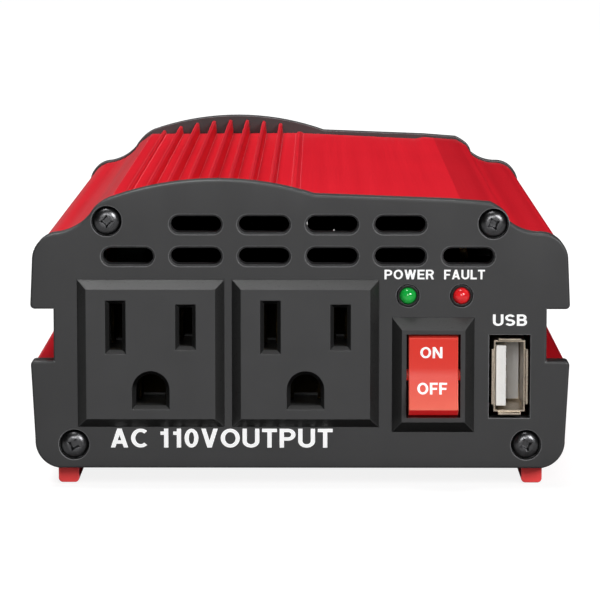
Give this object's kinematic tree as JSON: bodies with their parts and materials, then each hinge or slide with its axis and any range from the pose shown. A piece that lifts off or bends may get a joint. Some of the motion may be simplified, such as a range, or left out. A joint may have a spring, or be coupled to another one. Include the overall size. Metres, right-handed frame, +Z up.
{
  "type": "power inverter",
  "caption": "Power inverter: finned housing, end panels, two mains outlets, rocker switch, indicators, USB port, fan, binding posts and electronics.",
  "frame": {"origin": "middle of the footprint: across the housing, halfway along the extrusion, at the level the foot rails stand on", "axes": "+Z up; the outlets look along -Y; +X to the right of someone facing the outlets"},
  "size_m": [0.098, 0.1817, 0.0567],
  "materials": {
    "red_metal": "satin red anodised",
    "panel": "dark grey, fine texture",
    "black_plastic": "dark grey moulded",
    "switch_black": "black semi-gloss",
    "rocker_red": "red semi-gloss",
    "screw_steel": "black oxide",
    "zinc_steel": "zinc plated",
    "contact_brass": "bright",
    "tinned": "bright tin",
    "led_green": "tinted clear",
    "led_red": "tinted clear",
    "usb_steel": "bright",
    "usb_white": "white",
    "board_green": "solder mask",
    "ferrite": "matte dark grey",
    "bobbin": "black moulded",
    "copper": "enamelled copper",
    "tape": "yellow tape",
    "cap_sleeve": "dark blue sleeve",
    "epoxy": "moulded black",
    "pad_grey": "soft grey pad",
    "bare_aluminium": "mill finish",
    "fuse_orange": "translucent orange",
    "red_cap": "red moulded",
    "black_cap": "black moulded",
    "brass_post": "bright brass",
    "wire_red": "red insulation",
    "wire_black": "black insulation",
    "wire_white": "white insulation",
    "wire_green": "green insulation"
  },
  "bodies": {
    "inverter": {"housing_shell": "red_metal", "base_plate": "red_metal", "front_panel": "panel", "rear_panel": "panel", "panel_screws": "screw_steel", "outlet_left": "black_plastic", "outlet_right": "black_plastic", "outlet_covers": "black_plastic", "outlet_neutral_contacts": "contact_brass", "outlet_line_contacts": "contact_brass", "outlet_ground_contacts": "contact_brass", "switch_frame": "switch_black", "switch_terminals": "contact_brass", "power_led": "led_green", "fault_led": "led_red", "led_rings": "switch_black", "led_leads": "tinned", "usb_shell": "usb_steel", "usb_tongue": "usb_white", "usb_contacts": "contact_brass", "usb_board": "board_green", "main_board": "board_green", "board_standoffs": "contact_brass", "board_screws": "zinc_steel", "transformer_cores": "ferrite", "transformer_bobbins": "bobbin", "transformer_windings": "tape", "input_capacitors": "cap_sleeve", "high_voltage_capacitor": "cap_sleeve", "low_side_transistors": "epoxy", "high_side_transistors": "epoxy", "insulation_pads": "pad_grey", "clamp_bars": "bare_aluminium", "clamp_screws": "zinc_steel", "choke_core": "ferrite", "choke_winding": "copper", "blade_fuses": "fuse_orange", "fuse_clips": "tinned", "control_chips": "epoxy", "fan_frame": "epoxy", "fan_stator": "copper", "post_bases": "black_plastic", "post_bushings": "black_plastic", "post_studs": "brass_post", "post_nuts": "zinc_steel", "positive_wire": "wire_red", "negative_wire": "wire_black", "outlet_neutral_wires": "wire_white", "outlet_line_wires": "wire_black", "outlet_ground_wires": "wire_green", "switch_wires": "wire_red"},
    "switch_rocker": {"switch_rocker": "rocker_red", "switch_plunger": "black_plastic", "switch_spring": "zinc_steel"},
    "switch_lever": {"switch_lever": "contact_brass"},
    "fan_rotor": {"fan_rotor": "epoxy"},
    "positive_washer": {"positive_washer": "brass_post"},
    "positive_cap": {"positive_cap": "red_cap"},
    "negative_washer": {"negative_washer": "brass_post"},
    "negative_cap": {"negative_cap": "black_cap"}
  },
  "joints": [
    {"name": "rocker_tilt", "type": "hinge", "parent": "inverter", "child": "switch_rocker", "pos_m": [0.0242, -0.0789, 0.0206], "axis": [1, 0, 0], "range_deg": [0, 20]},
    {"name": "lever_tilt", "type": "hinge", "parent": "inverter", "child": "switch_lever", "pos_m": [0.0242, -0.069, 0.0206], "axis": [1, 0, 0], "range_deg": [-16, 0]},
    {"name": "fan_spin", "type": "hinge", "parent": "inverter", "child": "fan_rotor", "pos_m": [-0.011, 0.07, 0.0276], "axis": [0, 1, 0], "continuous": true},
    {"name": "positive_lift", "type": "slide", "parent": "inverter", "child": "positive_washer", "axis": [0, 1, 0], "range_m": [0, 0.004]},
    {"name": "positive_turn", "type": "hinge", "parent": "positive_washer", "child": "positive_cap", "pos_m": [0.034, 0.083, 0.026], "axis": [0, 1, 0], "range_deg": [0, 1440]},
    {"name": "negative_lift", "type": "slide", "parent": "inverter", "child": "negative_washer", "axis": [0, 1, 0], "range_m": [0, 0.004]},
    {"name": "negative_turn", "type": "hinge", "parent": "negative_washer", "child": "negative_cap", "pos_m": [0.015, 0.083, 0.026], "axis": [0, 1, 0], "range_deg": [0, 1440]}
  ],
  "couplings": [
    {"joint": "lever_tilt", "follows": "rocker_tilt", "ratio": -0.8},
    {"joint": "positive_turn", "follows": "positive_lift", "rad_per_m": 6283.2},
    {"joint": "negative_turn", "follows": "negative_lift", "rad_per_m": 6283.2}
  ]
}
